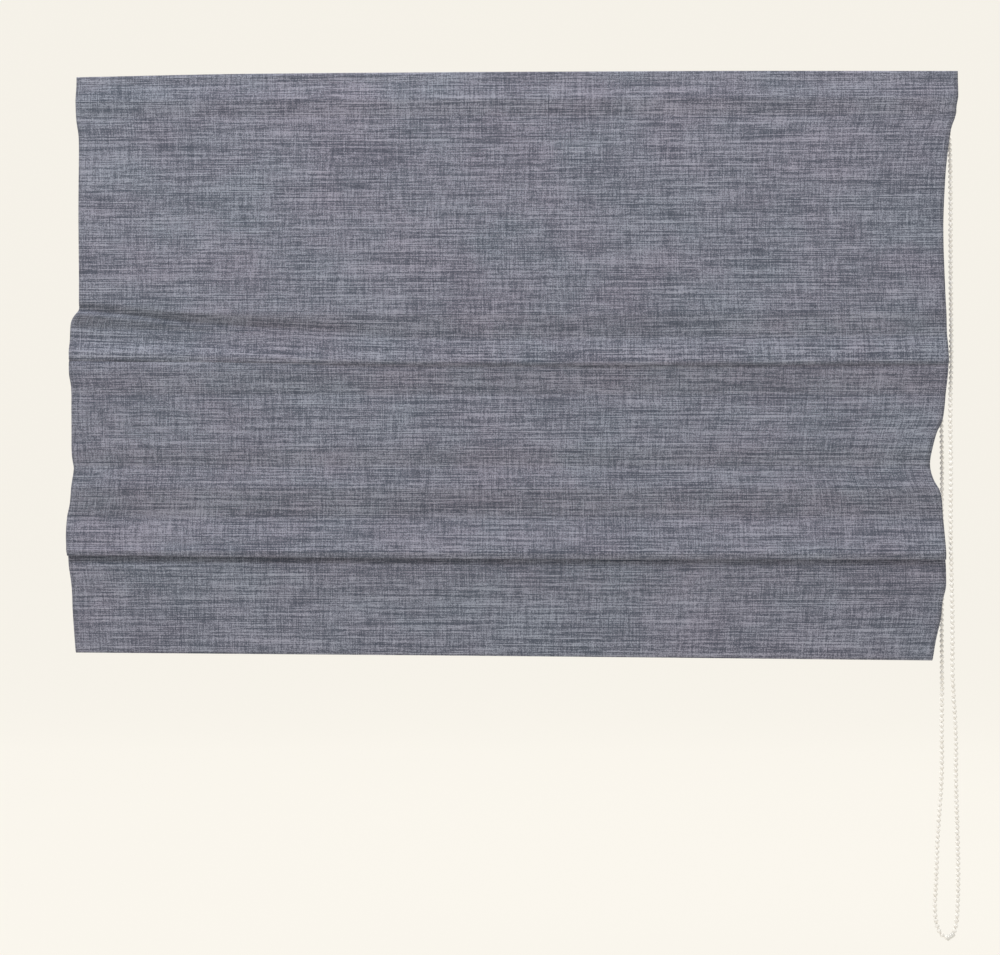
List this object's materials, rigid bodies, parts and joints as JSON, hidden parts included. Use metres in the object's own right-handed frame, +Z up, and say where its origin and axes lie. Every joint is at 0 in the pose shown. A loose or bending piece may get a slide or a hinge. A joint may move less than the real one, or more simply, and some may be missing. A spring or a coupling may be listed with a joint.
{
  "type": "roman blind",
  "caption": "Chain-driven roman blind: woven cloth on an extruded headrail, folding over rods, with cord spools, a geared chain loop, a weighted hem and wall brackets.",
  "frame": {"origin": "middle of the four wall screws, on the wall plane", "axes": "+X to the right along the rail as seen from the room, +Y into the wall, +Z up"},
  "size_m": [1.0045, 0.0606, 0.9876],
  "materials": {
    "woven_cloth": "mélange slub weave, matt",
    "white_tape": "woven polyester tape",
    "hook_tape": "moulded hooks",
    "braided_cord": "braided polyester",
    "white_rail": "white powder coat",
    "plated_steel": "zinc plated",
    "bar_metal": "mill finish",
    "white_moulding": "fine spark texture",
    "grey_moulding": "smooth moulded",
    "rod_fibre": "pultruded, satin",
    "clear_moulding": "glossy",
    "chain_moulding": "ivory, glossy"
  },
  "bodies": {
    "rail": {"headrail": "white_rail", "hook_tape": "hook_tape", "loop_tape": "white_tape", "fabric": "woven_cloth", "bracket_left": "plated_steel", "bracket_right": "plated_steel", "rivet_left": "plated_steel", "rivet_right": "plated_steel", "cradle_left": "white_moulding", "cradle_centre": "white_moulding", "cradle_right": "white_moulding", "end_cap": "white_moulding", "drive_housing": "white_moulding", "drive_cover": "white_moulding", "cover_screws": "plated_steel", "clutch_springs": "plated_steel", "bead_chain": "chain_moulding", "chain_connector": "chain_moulding"},
    "left_toggle": {"toggle_left": "plated_steel"},
    "right_toggle": {"toggle_right": "plated_steel"},
    "drive_line": {"shaft": "plated_steel", "sprocket": "grey_moulding", "output_drum": "grey_moulding", "end_bush": "grey_moulding", "spool_left": "white_moulding", "spool_centre": "white_moulding", "spool_right": "white_moulding", "winding_left": "braided_cord", "winding_centre": "braided_cord", "winding_right": "braided_cord"},
    "upper_fold": {"rod_upper": "rod_fibre", "rod_caps_upper": "white_moulding", "rod_sleeve_upper": "white_tape", "rings_upper": "clear_moulding"},
    "hem_section": {"rod_lower": "rod_fibre", "rod_caps_lower": "white_moulding", "rod_sleeve_lower": "white_tape", "rings_lower": "clear_moulding", "cord_orbs": "clear_moulding", "bottom_bar": "bar_metal", "bar_caps": "white_moulding", "lift_cord_left": "braided_cord", "lift_cord_centre": "braided_cord", "lift_cord_right": "braided_cord"}
  },
  "joints": [
    {"name": "upper_rod_lift", "type": "slide", "parent": "rail", "child": "upper_fold", "axis": [0, 0, 1], "range_m": [-0.05, 0.24], "deforming": ["fabric", "lift_cord_left", "lift_cord_centre", "lift_cord_right"]},
    {"name": "lower_rod_lift", "type": "slide", "parent": "upper_fold", "child": "hem_section", "axis": [0, 0, 1], "range_m": [-0.0401, 0.1921], "deforming": ["fabric", "lift_cord_left", "lift_cord_centre", "lift_cord_right"]},
    {"name": "drive_turn", "type": "hinge", "parent": "rail", "child": "drive_line", "pos_m": [0.489, -0.03, -0.0095], "axis": [1, 0, 0], "range_deg": [-738, 3537]},
    {"name": "left_toggle_turn", "type": "hinge", "parent": "rail", "child": "left_toggle", "pos_m": [-0.32, -0.03, 0.0163], "axis": [0, 0, 1], "range_deg": [0, 90]},
    {"name": "right_toggle_turn", "type": "hinge", "parent": "rail", "child": "right_toggle", "pos_m": [0.32, -0.03, 0.0163], "axis": [0, 0, 1], "range_deg": [0, 90]}
  ],
  "couplings": [
    {"joint": "lower_rod_lift", "follows": "upper_rod_lift", "ratio": 0.8},
    {"joint": "drive_turn", "follows": "upper_rod_lift", "rad_per_m": 257.14}
  ]
}
